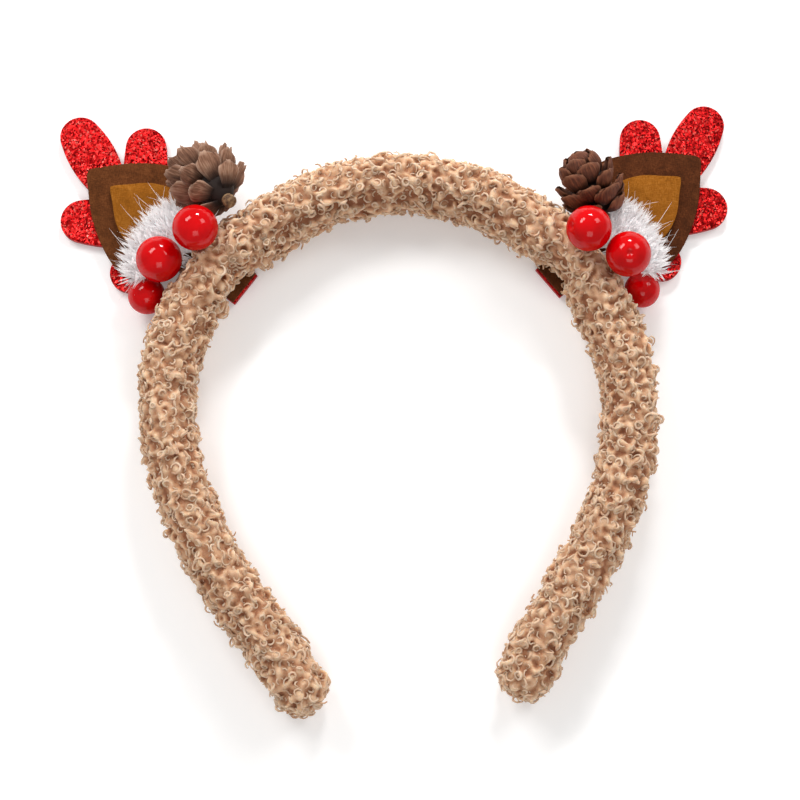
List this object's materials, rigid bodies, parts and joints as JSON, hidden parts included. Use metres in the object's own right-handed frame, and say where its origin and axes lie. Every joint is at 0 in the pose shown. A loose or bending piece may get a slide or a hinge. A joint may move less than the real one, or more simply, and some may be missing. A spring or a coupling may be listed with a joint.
{
  "type": "antler headband",
  "caption": "Padded fleece headband, open at the back of the head, with a glitter antler, felt ear, fur tuft, pinecone and berries on each shoulder.",
  "frame": {"origin": "middle of the footprint, on the surface that the headband lies on", "axes": "+X towards the right side as seen from its decorated front, +Y towards the crown of the hoop, +Z towards the decorated front"},
  "size_m": [0.2076, 0.1894, 0.0353],
  "materials": {
    "sherpa_fleece": "curly sherpa pile, beige",
    "glitter_foam": "foam sheet faced with coarse red glitter",
    "brown_felt": "matt pressed felt, dark brown",
    "golden_felt": "matt pressed felt, golden brown",
    "white_fur": "fluffy white fur with long guard hairs",
    "cone_wood": "dry natural cone scales",
    "berry_red": "high gloss red lacquer"
  },
  "bodies": {
    "root": {"fleece_band": "sherpa_fleece", "left_antler": "glitter_foam", "left_ear_outer": "brown_felt", "left_ear_inner": "golden_felt", "left_fur_tuft": "white_fur", "left_pinecone": "cone_wood", "left_berry_top": "berry_red", "left_berry_middle": "berry_red", "left_berry_low": "berry_red", "right_antler": "glitter_foam", "right_ear_outer": "brown_felt", "right_ear_inner": "golden_felt", "right_fur_tuft": "white_fur", "right_pinecone": "cone_wood", "right_berry_top": "berry_red", "right_berry_middle": "berry_red", "right_berry_low": "berry_red"}
  },
  "joints": []
}
